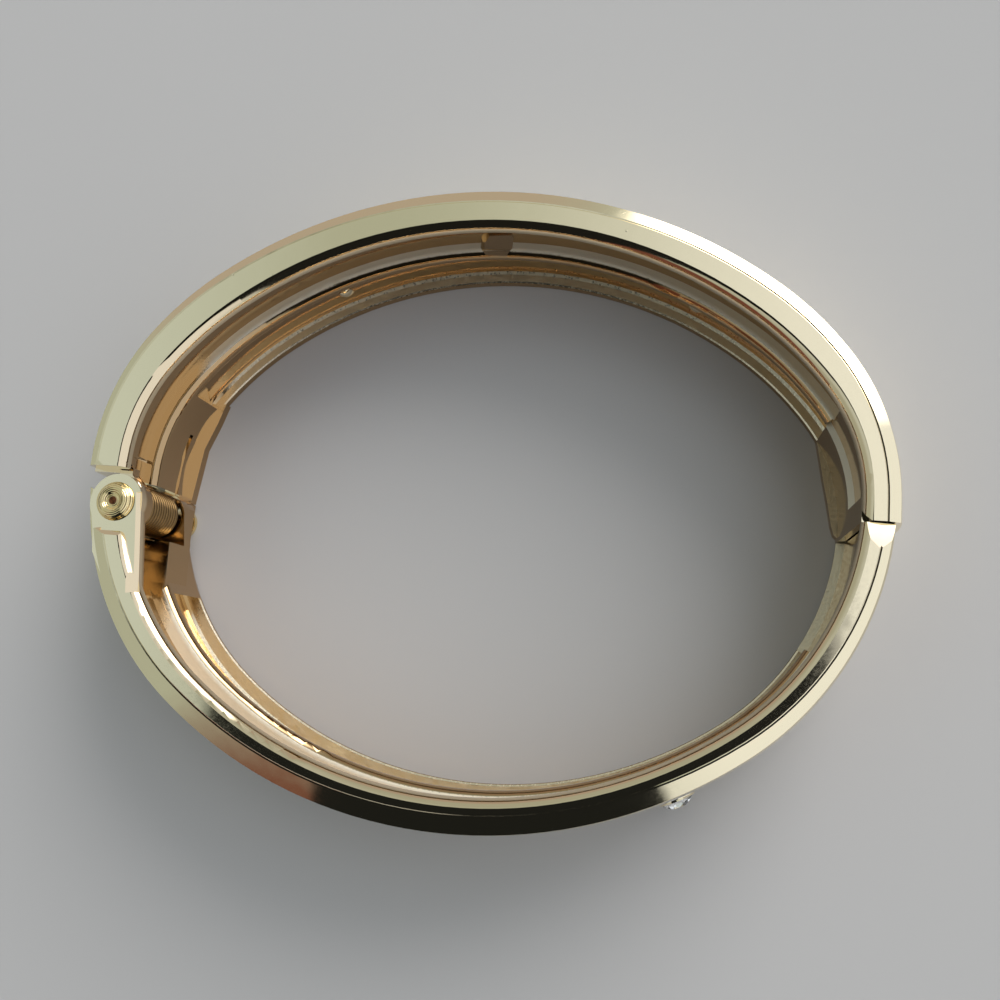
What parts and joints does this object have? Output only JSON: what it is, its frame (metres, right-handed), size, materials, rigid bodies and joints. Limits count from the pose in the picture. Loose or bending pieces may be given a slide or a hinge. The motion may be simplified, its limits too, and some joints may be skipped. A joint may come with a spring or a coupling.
{
  "type": "hinged clamp bracelet",
  "caption": "Oval gold-toned clamp bracelet: hollow-backed cast half shells on a sprung rivet hinge, with a butt closure and small faceted stones in cups on the outer face.",
  "frame": {"origin": "middle of the bracelet's bounding box, on the surface it lies on", "axes": "+Z is the axis of the bracelet, which lies on its side with its lower edge on z = 0; -X points to the hinge, +X to the closure, +Y to the far half"},
  "size_m": [0.0674, 0.0533, 0.0122],
  "materials": {
    "gold_plate": "polished pale gold plating over a zinc alloy casting",
    "setting_plate": "polished pale gold plating",
    "rivet_plate": "polished, head spun over",
    "spring_wire": "plated spring steel wire, toned brown",
    "clear_stone": "clear cut glass"
  },
  "bodies": {
    "far_body": {"far_half": "gold_plate", "hinge_pin": "rivet_plate", "hinge_spring": "spring_wire", "setting_far_right": "setting_plate", "setting_far_left": "setting_plate", "stone_far_right": "clear_stone", "stone_far_left": "clear_stone"},
    "near_body": {"near_half": "gold_plate", "setting_near_right": "setting_plate", "setting_near_left": "setting_plate", "stone_near_right": "clear_stone", "stone_near_left": "clear_stone"}
  },
  "joints": [
    {"name": "opening_hinge", "type": "hinge", "parent": "far_body", "child": "near_body", "pos_m": [-0.0301, -0.00275, 0.006], "axis": [0, 0, -1], "range_deg": [0, 45], "stiffness_Nm_per_rad": 0.03, "springref_deg": -143.24}
  ]
}
